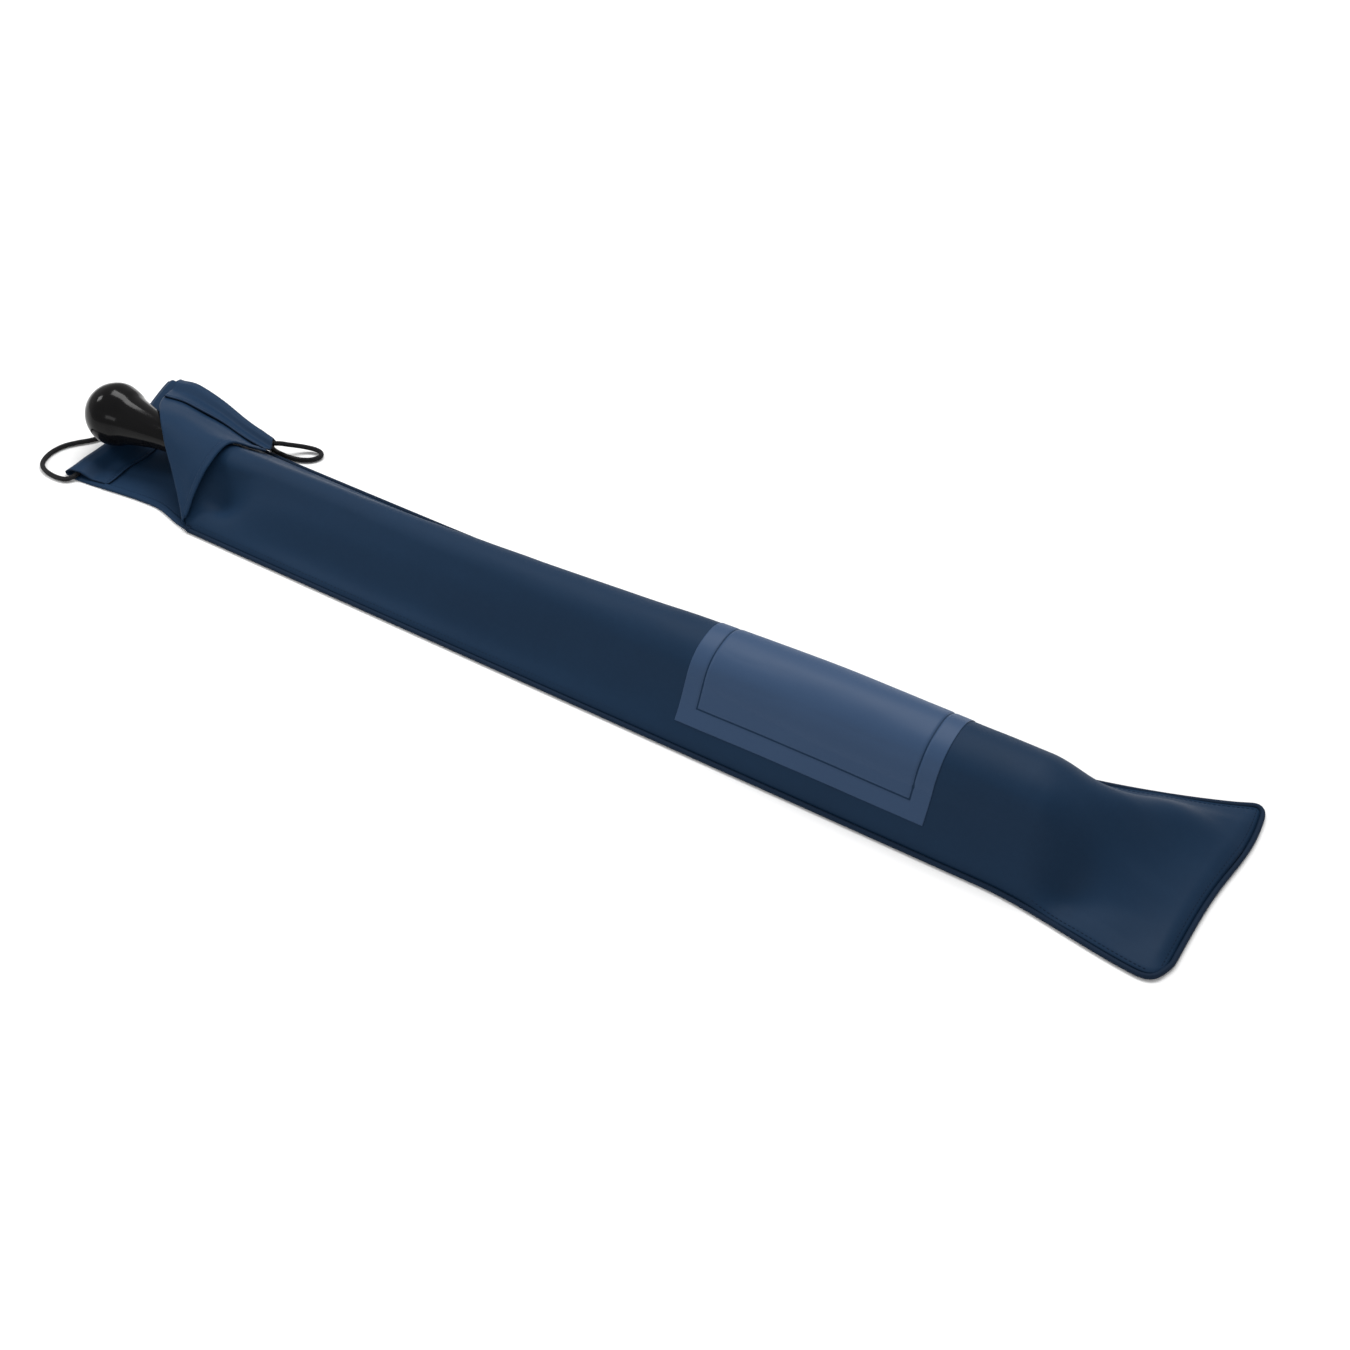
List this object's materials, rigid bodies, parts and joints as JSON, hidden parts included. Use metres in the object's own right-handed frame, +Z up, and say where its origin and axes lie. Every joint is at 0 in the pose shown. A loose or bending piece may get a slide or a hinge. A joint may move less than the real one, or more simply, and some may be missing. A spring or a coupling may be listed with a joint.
{
  "type": "bat sleeve",
  "caption": "Slim soft fabric sleeve lying flat, with a slit mouth, folded-back flap and drawcord, holding a lacquered ball bat.",
  "frame": {"origin": "on the ground under the bat's axis, 480 mm from the mouth edge of the lower flap", "axes": "+X along the sleeve to the closed end, +Y to the far side seam, +Z up"},
  "size_m": [1.0086, 0.1845, 0.0705],
  "materials": {
    "sleeve_cloth": "smooth matte navy knit cloth with a soft sheen",
    "lining_cloth": "inner face of the navy cloth, a little lighter",
    "seam_thread": "dark navy sewn edge",
    "print": "satin printed panel, a shade lighter than the cloth",
    "cord": "black braided drawcord",
    "lacquer": "turned wood under gloss black lacquer"
  },
  "bodies": {
    "sleeve": {"back_panel": "sleeve_cloth", "front_panel": "sleeve_cloth", "near_side_seam": "seam_thread", "far_side_seam": "seam_thread", "closed_end_seam": "seam_thread", "slit_bar_tack": "seam_thread", "slit_corner_fold": "lining_cloth", "back_hem": "lining_cloth", "back_slit_hem": "lining_cloth", "drawcord_back_run": "cord", "drawcord_slack": "cord", "print_panel": "print"},
    "flap": {"front_flap": "lining_cloth", "front_hem": "lining_cloth", "front_slit_hem": "lining_cloth", "drawcord_front_run": "cord", "drawcord_loop": "cord"},
    "bat": {"bat": "lacquer"}
  },
  "joints": [
    {"name": "flap_fold", "type": "hinge", "parent": "sleeve", "child": "flap", "pos_m": [-0.416, 0.003, 0.051], "axis": [0.6712, -0.7413, 0], "range_deg": [0, 75]},
    {"name": "bat_draw", "type": "slide", "parent": "sleeve", "child": "bat", "axis": [-1, 0, 0], "range_m": [0, 0.04]}
  ]
}
